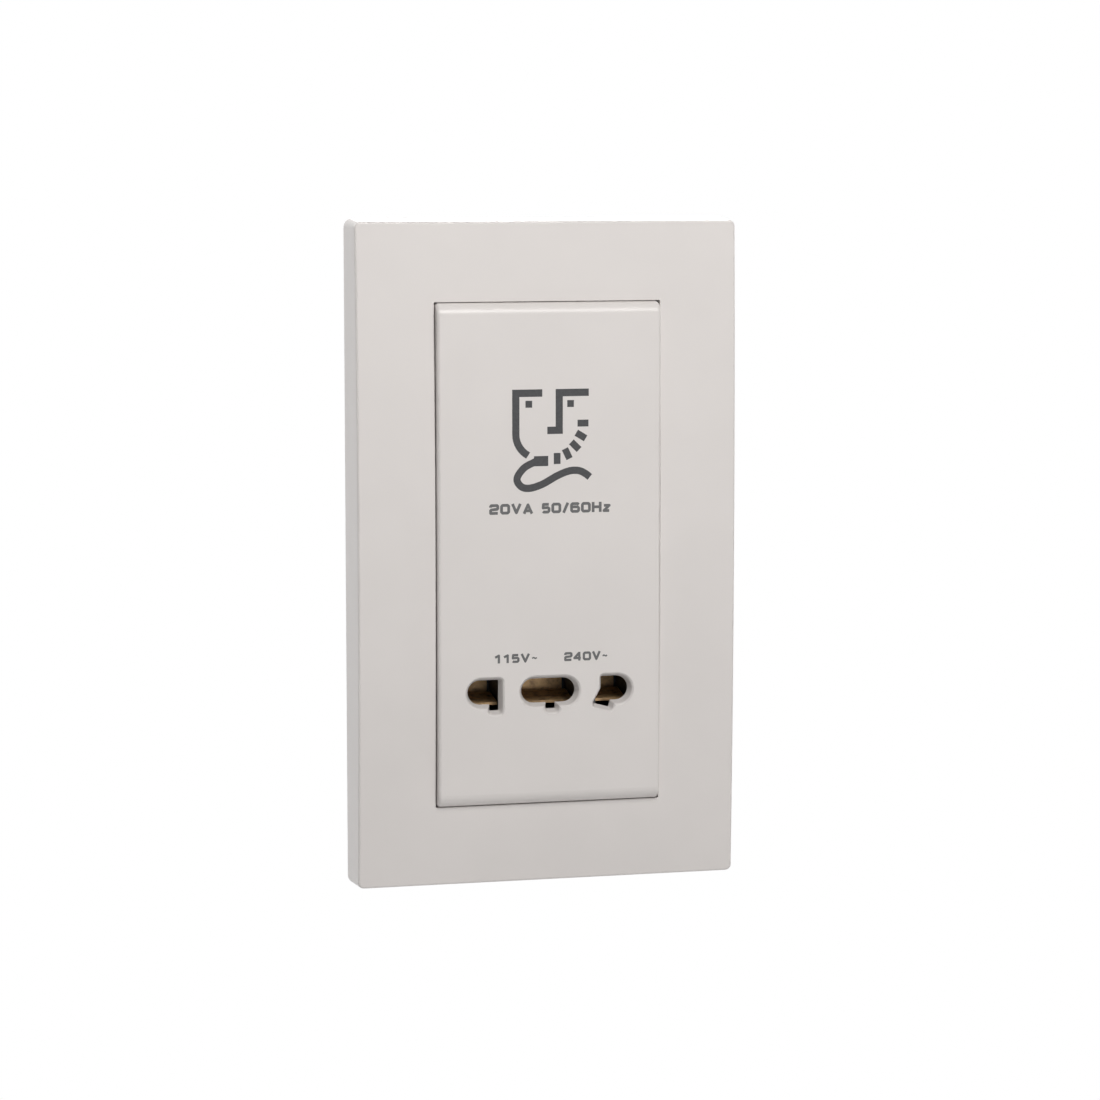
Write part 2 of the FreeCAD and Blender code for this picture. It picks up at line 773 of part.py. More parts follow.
def clamp_screw(x):
    tip = terminal_bore_y + terminal_bore_r + terminal_back_off
    under = terminal_y0 + terminal_d + terminal_back_off
    top = under + clamp_head_t
    head = rod(clamp_head_r, under, top, x, terminal_z)
    screw = fused(head, [rod(clamp_screw_r, tip, under, x, terminal_z)])
    return screw.cut(driver_slot(clamp_head_r, clamp_head_t, top - clamp_head_t / 2, top, x, terminal_z))


def terminal_screws():
    return Part.makeCompound([clamp_screw(x) for x in terminals_x()])


def lead(points):
    edges = []
    start = points[0]
    for before, corner, after in zip(points, points[1:], points[2:]):
        a, m, b = corner_arc(before, corner, after, lead_bend)
        edges.append(Part.makeLine(start, a))
        edges.append(Part.Arc(a, m, b).toShape())
        start = b
    edges.append(Part.makeLine(start, points[-1]))
    spine = Part.Wire(edges)
    along = points[1] - points[0]
    side = along.cross(V(1, 0, 0)).normalize() * lead_r
    ring = []
    for step in range(lead_sides + 1):
        turn = FreeCAD.Rotation(along, 360.0 * step / lead_sides)
        ring.append(points[0] + turn.multVec(side))
    return spine.makePipeShell([Part.makePolygon(ring)], True, True)


def tail_lead_y():
    return carrier_y + 2 * lead_r + tail_play * 2


def terminal_lead_y():
    return lower_in_rear - 2 * tail_w


def secondary_level():
    return chamber_z0 + lead_bend + lead_r


def primary_level():
    return core_z - 3 * core_u - bracket_t - lead_core_gap - lead_r


def secondary_lead(place):
    x = secondary_middle() + (place - 1) * lead_pitch
    y = winding_front()
    end_x = span_middle(contact_spans()[place])
    end_z = hole_z + contact_t / 2
    return lead([
        V(x, y, core_z),
        V(x, y - lead_lift, core_z),
        V(x, y - lead_lift, secondary_level()),
        V(end_x, tail_lead_y(), secondary_level()),
        V(end_x, tail_lead_y(), end_z),
    ])


def secondary_middle():
    return (bobbin_flange_t / 2 + bobbin_half - bobbin_flange_t) / 2


def lead_live():
    x = cutout_x()
    y = winding_front() - cutout_t / 2
    return lead([
        V(x, y, core_z - cutout_h / 2),
        V(x, y, primary_level()),
        V(-terminal_pitch, terminal_lead_y(), primary_level()),
        V(-terminal_pitch, terminal_lead_y(), terminal_z + contact_t / 2),
    ])


def lead_neutral():
    x = -bobbin_flange_t / 2 - 2 * lead_r
    y = winding_front()
    return lead([
        V(x, y, core_z),
        V(x, y - lead_lift, core_z),
        V(x, y - lead_lift, primary_level()),
        V(terminal_pitch, terminal_lead_y(), primary_level()),
        V(terminal_pitch, terminal_lead_y(), terminal_z + contact_t / 2),
    ])


os.makedirs("parts", exist_ok=True)
spans = contact_spans()
nodes = {
    "cover_plate": cover_plate(),
    "support_frame": support_frame(),
    "fixing_screws": fixing_screws(),
    "socket_face": socket_face(),
    "contact_carrier": contact_carrier(),
    "contact_115v": contact(spans[0]),
    "contact_common": contact(spans[1]),
    "contact_240v": contact(spans[2]),
    "rear_case": rear_case(),
    "case_screws": case_screws(),
    "core_e_stack": core_e_stack(),
    "core_i_stack": core_i_stack(),
    "bobbin": bobbin(),
    "primary_winding": primary_winding(),
    "secondary_winding": secondary_winding(),
    "core_bracket_upper": core_bracket(1),
    "core_bracket_lower": core_bracket(-1),
    "bracket_screws": bracket_screws(),
    "thermal_cutout": thermal_cutout(),
    "terminal_block": terminal_block(),
    "terminal_live": terminal(-terminal_pitch, True),
    "terminal_earth": terminal(0.0, False),
    "terminal_neutral": terminal(terminal_pitch, True),
    "terminal_screws": terminal_screws(),
    "block_screws": block_screws(),
    "lead_live": lead_live(),
    "lead_neutral": lead_neutral(),
    "lead_115v": secondary_lead(0),
    "lead_common": secondary_lead(1),
    "lead_240v": secondary_lead(2),
}
for name, shape in nodes.items():
    shape.exportStep("parts/" + name + ".step")
    print(name, len(shape.Solids), shape.isValid(), round(shape.Volume, 1))
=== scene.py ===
# Shaver socket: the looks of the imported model, in metres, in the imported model's own frame.
import math

import bmesh
import bpy
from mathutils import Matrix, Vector
from mathutils.geometry import delaunay_2d_cdt


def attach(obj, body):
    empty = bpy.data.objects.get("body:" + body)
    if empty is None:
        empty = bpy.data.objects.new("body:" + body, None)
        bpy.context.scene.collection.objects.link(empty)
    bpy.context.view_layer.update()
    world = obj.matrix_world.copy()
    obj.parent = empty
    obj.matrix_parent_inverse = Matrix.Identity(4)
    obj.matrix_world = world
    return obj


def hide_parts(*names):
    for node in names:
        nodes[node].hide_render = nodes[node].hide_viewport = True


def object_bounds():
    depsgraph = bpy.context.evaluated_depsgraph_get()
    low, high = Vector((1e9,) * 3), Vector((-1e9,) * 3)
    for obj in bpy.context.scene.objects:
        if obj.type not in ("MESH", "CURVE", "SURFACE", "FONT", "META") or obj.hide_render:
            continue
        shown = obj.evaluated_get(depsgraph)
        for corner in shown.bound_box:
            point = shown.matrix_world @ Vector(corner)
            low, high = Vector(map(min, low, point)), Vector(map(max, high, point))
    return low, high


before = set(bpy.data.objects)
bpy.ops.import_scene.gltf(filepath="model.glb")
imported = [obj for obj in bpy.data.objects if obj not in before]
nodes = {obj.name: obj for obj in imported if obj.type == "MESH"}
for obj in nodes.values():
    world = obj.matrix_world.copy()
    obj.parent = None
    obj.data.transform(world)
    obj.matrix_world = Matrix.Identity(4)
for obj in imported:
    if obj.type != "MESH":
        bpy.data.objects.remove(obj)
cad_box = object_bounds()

scene = bpy.context.scene
MM = 0.001
FLAT = math.radians(1.0)  # faces that meet at less than this are one
WHITE = (1.0, 1.0, 1.0, 1.0)

# Camera at the photograph's angle, fitted to a 1100 by 1100 picture. Angles are in degrees.
CAMERA_PLACE = (-0.1801, -0.7341, 0.0862)
CAMERA_YAW = 14.00
CAMERA_PITCH = 6.52
CAMERA_LENS = 112.6
CAMERA_SENSOR = 36.0
CAMERA_CLIP = (0.02, 30.0)

# Plastics: colour, its spread, roughness from and to, and the grain's size and depth in millimetres
PLASTICS = {
    "white_gloss": ((0.700, 0.668, 0.650), 0.012, (0.31, 0.38), 0.35, 0.004),
    "white_matte": ((0.69, 0.68, 0.65), 0.02, (0.50, 0.62), 0.6, 0.012),
    "grey_matte": ((0.30, 0.305, 0.31), 0.03, (0.48, 0.60), 0.6, 0.012),
    "black_matte": ((0.020, 0.020, 0.021), 0.10, (0.45, 0.60), 0.5, 0.008),
    "bobbin_nylon": ((0.55, 0.50, 0.40), 0.03, (0.40, 0.52), 0.5, 0.006),
    "cutout_case": ((0.05, 0.045, 0.045), 0.06, (0.35, 0.50), 0.5, 0.006),
    "lead_brown": ((0.13, 0.05, 0.022), 0.05, (0.32, 0.42), 0.4, 0.004),
    "lead_blue": ((0.025, 0.08, 0.36), 0.05, (0.32, 0.42), 0.4, 0.004),
    "lead_red": ((0.45, 0.025, 0.02), 0.05, (0.32, 0.42), 0.4, 0.004),
    "lead_black": ((0.018, 0.018, 0.019), 0.08, (0.32, 0.42), 0.4, 0.004),
    "lead_yellow": ((0.62, 0.44, 0.03), 0.05, (0.32, 0.42), 0.4, 0.004),
}
PLASTIC_WAVE = 18.0
PLASTIC_WAVE_DEPTH = 0.012

# Metals: clean and dull colour, roughness from and to, the streaks' scale on each axis, their depth in millimetres,
# and how metallic they look
METALS = {
    "spring_brass": ((0.56, 0.37, 0.19), (0.22, 0.14, 0.075), (0.34, 0.50), (0.05, 1.0, 1.0), 0.002, 0.5),
    "cast_brass": ((0.72, 0.50, 0.22), (0.42, 0.27, 0.11), (0.30, 0.48), (1.0, 1.0, 0.2), 0.006, 1.0),
    "zinc_steel": ((0.66, 0.67, 0.68), (0.46, 0.46, 0.45), (0.25, 0.42), (1.0, 0.2, 1.0), 0.003, 1.0),
}
METAL_PATCH = 1.6
METAL_STREAK = 0.4
METAL_WEAR = (0.42, 0.72)

# Core and windings, sizes in millimetres
STEEL_COLOURS = ((0.10, 0.105, 0.12), (0.20, 0.17, 0.15))
STEEL_ROUGH = (0.38, 0.62)
STEEL_PATCH = 3.0
SHEET = 0.5
SHEET_DEPTH = 0.04
ENAMEL_COLOURS = ((0.36, 0.11, 0.03), (0.52, 0.19, 0.06))
ENAMEL_PATCH = 4.0
WIRE = 0.3
WIRE_DEPTH = 0.09
WIRE_WANDER = 0.15
WAVE_TURN = 20.0  # radians that Blender's wave texture turns in one unit

# Inks: darkest and palest colour
INKS = {
    "ink": ((0.052, 0.053, 0.056), (0.066, 0.067, 0.070)),
    "thin_ink": ((0.128, 0.129, 0.130), (0.150, 0.151, 0.152)),
}
INK_ROUGH = (0.42, 0.55)
INK_GRAIN = 0.6
INK_GRAIN_DEPTH = 0.002

# Moulded pieces whose CAD edges are sharp, in millimetres and degrees
SOFT_NODES = ("terminal_block", "support_frame")
SOFT_WIDTH = 0.2
SOFT_ANGLE = 35.0
WELD_STEP = 0.001

# Print on the module's face, the front of the CAD box, in millimetres
FACE_Y = cad_box[0][1] / MM
INK_T = 0.02
INK_SINK = 0.004
JOIN_STEP = 0.002
BEND_STEP = math.radians(18)
STRAIGHT = 1e-6  # share of BEND_STEP that needs no fan
LEAST_MITRE = 0.4

# Sign: widths of its strokes, then points (x, z). The cheek is an arc by its middle, its radii and its two ends in
# degrees, and the chin's dashes are given by their middle and turn.
SIGN_STROKE = 1.6
SIGN_DASH = 1.5
SIGN_PLUG = 2.2
SIGN_MID = 0.9
SIGN_SPREAD = 1.025
BROW_Z = 35.4
BROW_LEFT = [(-1.7, BROW_Z), (-7.45, BROW_Z)]
CHEEK = (-1.95, 26.45, 5.5, 5.35, 180, 239)
CHEEK_STEPS = 8
BROW_AND_NOSE = [(8.45, BROW_Z), (2.0, BROW_Z), (2.0, 27.25), (-0.6, 27.25)]
EYE_Z = 33.0
EYES_X = (-4.625, 4.475)
EYE_REACH = 0.725
PLUG = [(-3.5, 20.6), (-0.4, 20.6)]
DASHES = ((7.2, 28.7, 0), (6.75, 26.0, 32), (5.5, 23.8, 45), (3.75, 22.1, 65), (1.55, 21.1, 90))
DASH_REACH = 1.2
FLEX = [(-2.6, 20.75), (-3.4, 20.4), (-5.7, 19.15), (-7.2, 16.9), (-6.3, 15.15), (-4.4, 14.75),
        (-1.6, 15.6), (1.7, 17.4), (4.3, 18.35), (6.3, 18.35), (7.7, 17.7), (8.7, 16.9)]

# Letters: width and strokes, with the middle of the lowest stroke at 0 and of the highest at 1.
# FOOT and TOP are the letter's own edges.
FOOT = -0.16
TOP = 1.16
LETTERS = {
    "0": (1.0, [[(0.5, 1.0), (0.15, 1.0), (0.0, 0.85), (0.0, 0.15), (0.15, 0.0),
                 (0.85, 0.0), (1.0, 0.15), (1.0, 0.85), (0.85, 1.0), (0.5, 1.0)]]),
    "1": (0.83, [[(0.0, 0.72), (0.56, 1.0), (0.56, FOOT)]]),
    "2": (1.0, [[(0.0, 0.75), (0.0, 0.9), (0.1, 1.0), (0.9, 1.0), (1.0, 0.9), (1.0, 0.62),
                 (0.9, 0.52), (0.1, 0.45), (0.0, 0.35), (0.0, 0.0), (1.0, 0.0)]]),
    "4": (1.05, [[(1.05, 0.24), (0.0, 0.24), (0.74, 1.0)], [(0.8, TOP), (0.8, FOOT)]]),
    "5": (0.85, [[(0.82, 1.0), (0.06, 1.0), (0.02, 0.54), (0.7, 0.58), (0.85, 0.46),
                  (0.85, 0.14), (0.71, 0.0), (0.12, 0.0), (0.0, 0.10)]]),
    "6": (1.0, [[(1.0, 0.86), (0.86, 1.0), (0.14, 1.0), (0.0, 0.86), (0.0, 0.14), (0.14, 0.0),
                 (0.86, 0.0), (1.0, 0.14), (1.0, 0.44), (0.86, 0.58), (0.02, 0.58)]]),
    "V": (1.1, [[(0.0, TOP), (0.55, 0.0), (1.1, TOP)]]),
    "A": (1.1, [[(0.0, FOOT), (0.55, 1.0), (1.1, FOOT)], [(0.2, 0.22), (0.9, 0.22)]]),
    "H": (1.0, [[(0.0, FOOT), (0.0, TOP)], [(1.0, FOOT), (1.0, TOP)], [(0.0, 0.52), (1.0, 0.52)]]),
    "z": (0.75, [[(0.0, 0.68), (0.75, 0.68), (0.0, 0.0), (0.75, 0.0)]]),
    "/": (0.6, [[(0.0, FOOT), (0.6, TOP)]]),
    "~": (0.7, [[(0.0, 0.40), (0.17, 0.54), (0.35, 0.47), (0.53, 0.40), (0.7, 0.54)]]),
    " ": (0.5, []),
}
LETTER_GAP = 1.42
WAVE_SHARE = 0.6
WAVE_STEPS = 2

# Marks: letters, middle x and z, height, width and the strokes' weight
MARKS = {
    "print_rating": ("20VA 50/60Hz", 0.0, 10.3, 2.3, 27.2, 0.62),
    "print_mark_low": ("115V~", -7.67, -22.45, 1.98, 9.85, 0.52),
    "print_mark_high": ("240V~", 8.13, -22.45, 1.98, 9.95, 0.52),
}

# M3.5 fixing screws, in millimetres: profiles are (y, radius)
SCREWS_Z = (-60.3, 60.3)
SCREW_HEAD = [(-6.6, 2.4), (-6.45, 2.85), (-6.1, 3.2), (-5.6, 3.3), (-4.75, 3.3), (-4.6, 3.15), (-4.6, 1.4)]
SCREW_TIP = [(18.7, 1.30), (19.0, 1.0)]
SCREW_SIDES = 28
THREAD_START = -4.0
THREAD_END = 18.4
THREAD_R = 1.75
THREAD_DEPTH = 0.32
THREAD_PITCH = 0.6
THREAD_ROWS = 6  # rings in one pitch
THREAD_SLOPE = 1.6
THREAD_CREST = 0.2

# Stage: the floor glows from the first to the second share between the two distances of FLOOR_FADE
SURROUND_LEVEL = 0.115
FLOOR_Z = -0.30
FLOOR_R = 1.2
FLOOR_SIDES = 96
FLOOR_COLOUR = (0.86, 0.86, 0.86, 1.0)
FLOOR_ROUGH = 0.9
FLOOR_GLOW = (0.55, 1.0)
FLOOR_FADE = (0.12, 0.5)

# Lamps: place, aim, size, power and colour
WARM = (1.0, 0.985, 0.97)
NEUTRAL = (1.0, 1.0, 1.0)
LAMPS = {
    "key": ((0.035, -0.43, 0.40), (0.0, 0.0, 0.0), (0.30, 0.20), 2.28, WARM),
    "low_fill": ((0.5, -1.6, -0.6), (0.0, 0.0, 0.0), (1.8, 1.8), 14.3, WARM),
    "side_fill": ((-0.60, 0.42, 0.50), (0.0, 0.0, 0.0), (0.4, 0.5), 4.2, NEUTRAL),
    "back_fill": ((0.30, 0.80, 0.28), (0.0, 0.02, 0.0), (0.5, 0.5), 4.5, NEUTRAL),
}


def add_camera():
    data = bpy.data.cameras.new("camera")
    data.lens = CAMERA_LENS
    data.sensor_width = CAMERA_SENSOR
    data.clip_start, data.clip_end = CAMERA_CLIP
    camera = bpy.data.objects.new("camera", data)
    scene.collection.objects.link(camera)
    yaw = math.radians(CAMERA_YAW)
    pitch = math.radians(CAMERA_PITCH)
    ahead = Vector((math.sin(yaw) * math.cos(pitch), math.cos(yaw) * math.cos(pitch), -math.sin(pitch)))
    camera.location = CAMERA_PLACE
    camera.rotation_euler = ahead.to_track_quat("-Z", "Y").to_euler()
    scene.camera = camera


def make_object(bm, name, material):
    mesh = bpy.data.meshes.new(name)
    bm.to_mesh(mesh)
    bm.free()
    mesh.materials.append(material)
    obj = bpy.data.objects.new(name, mesh)
    scene.collection.objects.link(obj)
    return obj


# Material helpers: noise, bands, colours and levels return a socket

def new_material(name):
    material = bpy.data.materials.new(name)
    material.use_nodes = True
    tree = material.node_tree
    place = tree.nodes.new("ShaderNodeTexCoord").outputs["Object"]
    return material, tree, tree.nodes["Principled BSDF"], place


def set_inputs(node, values):
    for name, value in values.items():
        node.inputs[name].default_value = value


def noise(tree, place, size, detail, stretch=(1.0, 1.0, 1.0)):
    mapping = tree.nodes.new("ShaderNodeMapping")
    set_inputs(mapping, {"Scale": stretch})
    tree.links.new(place, mapping.inputs["Vector"])
    node = tree.nodes.new("ShaderNodeTexNoise")
    set_inputs(node, {"Scale": 1.0 / (size * MM), "Detail": detail})
    tree.links.new(mapping.outputs["Vector"], node.inputs["Vector"])
    return node.outputs["Fac"]


def bands(tree, place, axis, period, distortion=0.0):
    node = tree.nodes.new("ShaderNodeTexWave")
    node.wave_type = "BANDS"
    node.bands_direction = axis
    set_inputs(node, {"Scale": 2 * math.pi / WAVE_TURN / (period * MM), "Distortion": distortion})
    tree.links.new(place, node.inputs["Vector"])
    return node.outputs["Fac"]


def colours(tree, fac, low, high, start=0.35, end=0.65):
    ramp = tree.nodes.new("ShaderNodeValToRGB")
    for element, position, colour in zip(ramp.color_ramp.elements, (start, end), (low, high)):
        element.position = position
        element.color = (*colour, 1.0)
    tree.links.new(fac, ramp.inputs["Fac"])
    return ramp.outputs["Color"]


def levels(tree, fac, low, high, start=0.3, end=0.7):
    node = tree.nodes.new("ShaderNodeMapRange")
    set_inputs(node, {"From Min": start, "From Max": end, "To Min": low, "To Max": high})
    tree.links.new(fac, node.inputs["Value"])
    return node.outputs["Result"]


def bump(tree, shader, heights):
    before = None
    for fac, depth in heights:
        node = tree.nodes.new("ShaderNodeBump")
        set_inputs(node, {"Strength": 1.0, "Distance": depth * MM})
        tree.links.new(fac, node.inputs["Height"])
        if before is not None:
            tree.links.new(before, node.inputs["Normal"])
        before = node.outputs["Normal"]
    tree.links.new(before, shader.inputs["Normal"])


def moulded_plastic(name, colour, spread, rough, grain, grain_depth):
    material, tree, shader, place = new_material(name)
    low = tuple(c * (1 - spread) for c in colour)
    high = tuple(c * (1 + spread) for c in colour)
    broad = noise(tree, place, PLASTIC_WAVE, detail=2.0)
    fine = noise(tree, place, grain, detail=4.0)
    tree.links.new(colours(tree, broad, low, high), shader.inputs["Base Color"])
    tree.links.new(levels(tree, fine, *rough), shader.inputs["Roughness"])
    bump(tree, shader, [(broad, PLASTIC_WAVE_DEPTH), (fine, grain_depth)])
    return material


def worn_metal(name, clean, dull, rough, stretch, depth, metallic):
    material, tree, shader, place = new_material(name)
    patches = noise(tree, place, METAL_PATCH, detail=5.0)
    streaks = noise(tree, place, METAL_STREAK, detail=4.0, stretch=stretch)
    tree.links.new(colours(tree, patches, clean, dull, *METAL_WEAR), shader.inputs["Base Color"])
    tree.links.new(levels(tree, streaks, *rough), shader.inputs["Roughness"])
    bump(tree, shader, [(streaks, depth), (patches, depth)])
    set_inputs(shader, {"Metallic": metallic})
    return material


def laminated_steel():
    material, tree, shader, place = new_material("lamination")
    sheets = bands(tree, place, "Y", SHEET)
    patches = noise(tree, place, STEEL_PATCH, detail=4.0)
    tree.links.new(colours(tree, patches, *STEEL_COLOURS), shader.inputs["Base Color"])
    tree.links.new(levels(tree, sheets, *STEEL_ROUGH), shader.inputs["Roughness"])
    bump(tree, shader, [(sheets, SHEET_DEPTH)])
    set_inputs(shader, {"Metallic": 0.85})
    return material


def enamelled_wire():
    material, tree, shader, place = new_material("winding")
    turns = bands(tree, place, "X", WIRE, WIRE_WANDER)
    patches = noise(tree, place, ENAMEL_PATCH, detail=3.0)
    tree.links.new(colours(tree, patches, *ENAMEL_COLOURS), shader.inputs["Base Color"])
    bump(tree, shader, [(turns, WIRE_DEPTH)])
    set_inputs(shader, {"Metallic": 0.7, "Roughness": 0.28, "Coat Weight": 0.4, "Coat Roughness": 0.15})
    return material


def printed_ink(name, low, high):
    material, tree, shader, place = new_material(name)
    cover = noise(tree, place, INK_GRAIN, detail=4.0)
    tree.links.new(colours(tree, cover, low, high), shader.inputs["Base Color"])
    tree.links.new(levels(tree, cover, *INK_ROUGH), shader.inputs["Roughness"])
    bump(tree, shader, [(cover, INK_GRAIN_DEPTH)])
    set_inputs(shader, {"Specular IOR Level": 0.3})
    return material


def make_materials():
    made = {name: moulded_plastic(name, *look) for name, look in PLASTICS.items()}
    made.update((name, worn_metal(name, *look)) for name, look in METALS.items())
    made.update((name, printed_ink(name, *look)) for name, look in INKS.items())
    made["lamination"] = laminated_steel()
    made["winding"] = enamelled_wire()
    return made


# CAD nodes: each has a material named after its slot

def dress_nodes(materials):
    for obj in nodes.values():
        name = obj.data.materials[0].name.split(".")[0]
        obj.material_slots[0].material = materials[name]


def soften_edges():
    for name in SOFT_NODES:
        stack = nodes[name].modifiers
        weld = stack.new("weld", "WELD")
        weld.merge_threshold = WELD_STEP * MM
        flat = stack.new("flat", "DECIMATE")
        flat.decimate_type = "DISSOLVE"
        flat.angle_limit = FLAT
        edge = stack.new("edge", "BEVEL")
        edge.width = SOFT_WIDTH * MM
        edge.segments = 2
        edge.limit_method = "ANGLE"
        edge.angle_limit = math.radians(SOFT_ANGLE)
        even = stack.new("even", "WEIGHTED_NORMAL")
        even.keep_sharp = False


# Print: outlines of flat strokes in (x, z) millimetres, joined so that none overlaps

def arc(cx, cz, rx, rz, start, end, steps):
    turn = [math.radians(start + (end - start) * i / steps) for i in range(steps + 1)]
    return [(cx + rx * math.cos(t), cz + rz * math.sin(t)) for t in turn]


def spline(p, q, r, s, t):
    return 0.5 * (2 * q + (r - p) * t + (2 * p - 5 * q + 4 * r - s) * t * t + (3 * q - p - 3 * r + s) * t ** 3)


def smooth_line(points, steps=8):
    ends = [points[0]] + points + [points[-1]]
    line = []
    for four in zip(ends, ends[1:], ends[2:], ends[3:]):
        for i in range(steps):
            line.append(tuple(spline(*axis, i / steps) for axis in zip(*four)))
    return line + [points[-1]]


def ribbon(line, width):
    flat = [Vector(p) for p in line]
    runs = [(b - a).normalized() for a, b in zip(flat, flat[1:])]
    left, right = [], []
    for i, p in enumerate(flat):
        before = runs[max(i - 1, 0)]
        after = runs[min(i, len(runs) - 1)]
        middle = (before + after).normalized()
        side = Vector((-middle.y, middle.x))
        reach = width / 2 / max(LEAST_MITRE, side.dot(Vector((-after.y, after.x))))
        left.append(tuple(p + side * reach))
        right.append(tuple(p - side * reach))
    return right + left[::-1]


def bend_fan(before, bend, after, width):
    """Round corner on the outer side of a bend, empty where the line runs straight on."""
    first = math.atan2(bend[1] - before[1], bend[0] - before[0])
    turn = math.atan2(after[1] - bend[1], after[0] - bend[0]) - first
    turn = (turn + math.pi) % (2 * math.pi) - math.pi
    steps = math.ceil(abs(turn) / BEND_STEP - STRAIGHT)
    if steps < 1:
        return []
    start = first - math.copysign(math.pi / 2, turn)
    rim = [start + turn * i / steps for i in range(steps + 1)]
    return [bend] + [(bend[0] + width / 2 * math.cos(a), bend[1] + width / 2 * math.sin(a)) for a in rim]


def round_strokes(line, width):
    boxes = [ribbon(pair, width) for pair in zip(line, line[1:])]
    fans = [bend_fan(*three, width) for three in zip(line, line[1:], line[2:])]
    return boxes + [fan for fan in fans if fan]


def inside(x, z, outline):
    hit = False
    for (x0, z0), (x1, z1) in zip(outline, outline[1:] + outline[:1]):
        if (z0 > z) != (z1 > z) and x < x0 + (z - z0) * (x1 - x0) / (z1 - z0):
            hit = not hit
    return hit


def joined(outlines):
    """Points and triangles of the area that the outlines cover together."""
    corners, faces = [], []
    for outline in outlines:
        faces.append(list(range(len(corners), len(corners) + len(outline))))
        corners += [Vector(p) for p in outline]
    points, _, triangles, _, _, _ = delaunay_2d_cdt(corners, [], faces, 0, JOIN_STEP)
    kept = []
    for triangle in triangles:
        middle = sum((points[i] for i in triangle), Vector((0.0, 0.0))) / 3
        if any(inside(middle.x, middle.y, outline) for outline in outlines):
            kept.append(triangle)
    return points, kept


def print_piece(name, groups, material):
    bm = bmesh.new()
    for outlines in groups:
        points, triangles = joined(outlines)
        corners = [bm.verts.new((p.x * MM, (FACE_Y - INK_T) * MM, p.y * MM)) for p in points]
        for triangle in triangles:
            bm.faces.new([corners[i] for i in triangle])
    bmesh.ops.delete(bm, geom=[v for v in bm.verts if not v.link_faces], context="VERTS")
    bmesh.ops.remove_doubles(bm, verts=bm.verts, dist=JOIN_STEP * MM)
    bmesh.ops.dissolve_degenerate(bm, dist=JOIN_STEP * MM, edges=bm.edges)
    bmesh.ops.dissolve_limit(bm, angle_limit=FLAT, verts=bm.verts, edges=bm.edges)
    bmesh.ops.recalc_face_normals(bm, faces=bm.faces)
    for face in bm.faces:
        if face.normal.y > 0:
            face.normal_flip()
    obj = make_object(bm, name, material)
    layer = obj.modifiers.new("layer", "SOLIDIFY")
    layer.thickness = (INK_T + INK_SINK) * MM
    layer.offset = -1.0
    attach(obj, "root")


def shaver_sign():
    strokes = [
        (BROW_LEFT + arc(*CHEEK, CHEEK_STEPS), SIGN_STROKE),
        (BROW_AND_NOSE, SIGN_STROKE),
        (PLUG, SIGN_PLUG),
        (smooth_line(FLEX), SIGN_STROKE),
    ]
    for x in EYES_X:
        strokes.append(([(x - EYE_REACH, EYE_Z), (x + EYE_REACH, EYE_Z)], SIGN_DASH))
    for x, z, turn in DASHES:
        dx = DASH_REACH * math.cos(math.radians(turn))
        dz = DASH_REACH * math.sin(math.radians(turn))
        strokes.append(([(x - dx, z + dz), (x + dx, z - dz)], SIGN_DASH))
    outlines = []
    for line, width in strokes:
        outlines.append(ribbon([(SIGN_MID + (x - SIGN_MID) * SIGN_SPREAD, z) for x, z in line], width))
    return [outlines]


def marking(letters, cx, cz, height, width, weight):
    """One group of outlines for each letter that shows."""
    body = height - weight
    gap = LETTER_GAP * weight / body
    total = sum(LETTERS[c][0] for c in letters) + gap * (len(letters) - 1)
    sx = (width - weight) / total
    x = cx - (width - weight) / 2
    groups = []
    for c in letters:
        wide, lines = LETTERS[c]
        outlines = []
        for line in lines:
            placed = [(x + u * sx, cz - body / 2 + v * body) for u, v in line]
            if c == "~":
                outlines += round_strokes(smooth_line(placed, WAVE_STEPS), weight * WAVE_SHARE)
            else:
                outlines += round_strokes(placed, weight)
        if outlines:
            groups.append(outlines)
        x += (wide + gap) * sx
    return groups


def add_print(ink, thin_ink):
    print_piece("print_sign", shaver_sign(), ink)
    for name, mark in MARKS.items():
        print_piece(name, marking(*mark), thin_ink)


# Fixing screws with a cut thread, in place of the plain ones

def ring(bm, y, z, radius):
    turns = [2 * math.pi * i / SCREW_SIDES for i in range(SCREW_SIDES)]
    return [bm.verts.new((radius(t) * math.cos(t) * MM, y * MM, (z + radius(t) * math.sin(t)) * MM)) for t in turns]


def plain_ring(bm, y, z, r):
    return ring(bm, y, z, lambda turn: r)


def thread_ring(bm, y, z):
    def radius(turn):
        place = (y / THREAD_PITCH + turn / (2 * math.pi)) % 1.0
        cut = THREAD_SLOPE * (1 - abs(2 * place - 1)) - THREAD_CREST
        return THREAD_R - THREAD_DEPTH * min(1.0, max(0.0, cut))
    return ring(bm, y, z, radius)


def join_rings(bm, a, b):
    n = len(a)
    for i in range(n):
        bm.faces.new((a[i], a[(i + 1) % n], b[(i + 1) % n], b[i]))


def close_ring(bm, rim):
    pole = bm.verts.new(sum((v.co for v in rim), Vector()) / len(rim))
    for a, b in zip(rim, rim[1:] + rim[:1]):
        bm.faces.new((pole, a, b))


def add_fixing_screw(bm, z):
    step = THREAD_PITCH / THREAD_ROWS
    rows = int((THREAD_END - THREAD_START) / step)
    rings = [plain_ring(bm, y, z, r) for y, r in SCREW_HEAD]
    rings += [thread_ring(bm, THREAD_START + i * step, z) for i in range(rows)]
    rings += [plain_ring(bm, y, z, r) for y, r in SCREW_TIP]
    for a, b in zip(rings, rings[1:]):
        join_rings(bm, a, b)
    close_ring(bm, rings[0])
    close_ring(bm, rings[-1])


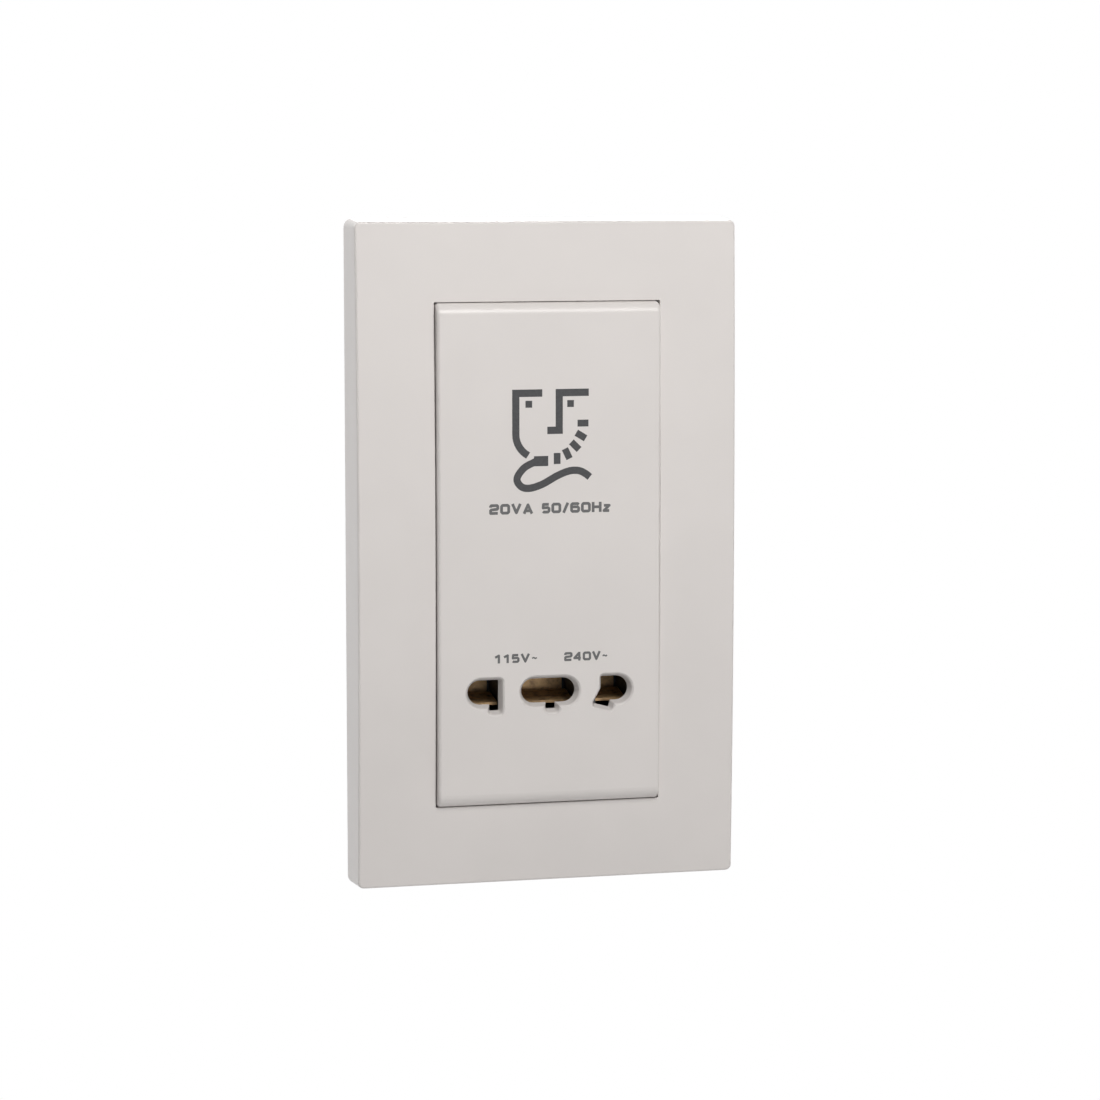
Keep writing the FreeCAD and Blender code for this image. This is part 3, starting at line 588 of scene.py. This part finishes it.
def add_fixing_screws(material):
    bm = bmesh.new()
    for z in SCREWS_Z:
        add_fixing_screw(bm, z)
    bmesh.ops.recalc_face_normals(bm, faces=bm.faces)
    for face in bm.faces:
        face.smooth = True
    obj = make_object(bm, "fixing_screws_cut", material)
    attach(obj, "root")
    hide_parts("fixing_screws")


# Stage: soft studio light, a white surround and a pale floor that keeps the shadow

def add_lamp(name, place, aim, size, power, colour):
    data = bpy.data.lights.new(name, "AREA")
    data.shape = "RECTANGLE"
    data.size, data.size_y = size
    data.energy = power
    data.color = colour
    lamp = bpy.data.objects.new(name, data)
    scene.collection.objects.link(lamp)
    lamp.location = place
    lamp.rotation_euler = (Vector(aim) - Vector(place)).to_track_quat("-Z", "Y").to_euler()


def math_node(tree, operation, a, b):
    node = tree.nodes.new("ShaderNodeMath")
    node.operation = operation
    tree.links.new(a, node.inputs[0])
    tree.links.new(b, node.inputs[1])
    return node.outputs[0]


def mix_shaders(tree, share, a, b, end):
    mix = tree.nodes.new("ShaderNodeMixShader")
    tree.links.new(share, mix.inputs["Fac"])
    tree.links.new(a.outputs[0], mix.inputs[1])
    tree.links.new(b.outputs[0], mix.inputs[2])
    tree.links.new(mix.outputs[0], tree.nodes[end].inputs["Surface"])


def seen_directly(tree):
    rays = tree.nodes.new("ShaderNodeLightPath").outputs
    seen = math_node(tree, "MAXIMUM", rays["Is Camera Ray"], rays["Is Glossy Ray"])
    return math_node(tree, "MAXIMUM", seen, rays["Is Transmission Ray"])


def add_surround():
    world = bpy.data.worlds.new("surround")
    world.use_nodes = True
    scene.world = world
    tree = world.node_tree
    lit = tree.nodes["Background"]
    set_inputs(lit, {"Color": WHITE, "Strength": SURROUND_LEVEL})
    white = tree.nodes.new("ShaderNodeBackground")
    set_inputs(white, {"Color": WHITE, "Strength": 1.0})
    mix_shaders(tree, seen_directly(tree), lit, white, "World Output")


def floor_material():
    material, tree, shader, place = new_material("pale_floor")
    set_inputs(shader, {"Base Color": FLOOR_COLOUR, "Roughness": FLOOR_ROUGH})
    glow = tree.nodes.new("ShaderNodeEmission")
    set_inputs(glow, {"Color": WHITE, "Strength": 1.0})
    reach = tree.nodes.new("ShaderNodeVectorMath")
    reach.operation = "LENGTH"
    tree.links.new(place, reach.inputs[0])
    fade = levels(tree, reach.outputs["Value"], *FLOOR_GLOW, *FLOOR_FADE)
    share = math_node(tree, "MULTIPLY", fade, seen_directly(tree))
    mix_shaders(tree, share, shader, glow, "Material Output")
    return material


def add_floor():
    bm = bmesh.new()
    bmesh.ops.create_circle(bm, cap_ends=True, radius=FLOOR_R, segments=FLOOR_SIDES)
    floor = make_object(bm, "floor", floor_material())
    floor.location = (0.0, 0.0, FLOOR_Z)


scene.view_settings.view_transform = "Standard"
add_camera()
materials = make_materials()
dress_nodes(materials)
soften_edges()
add_print(materials["ink"], materials["thin_ink"])
add_fixing_screws(materials["zinc_steel"])
add_surround()
add_floor()
for name, setting in LAMPS.items():
    add_lamp(name, *setting)
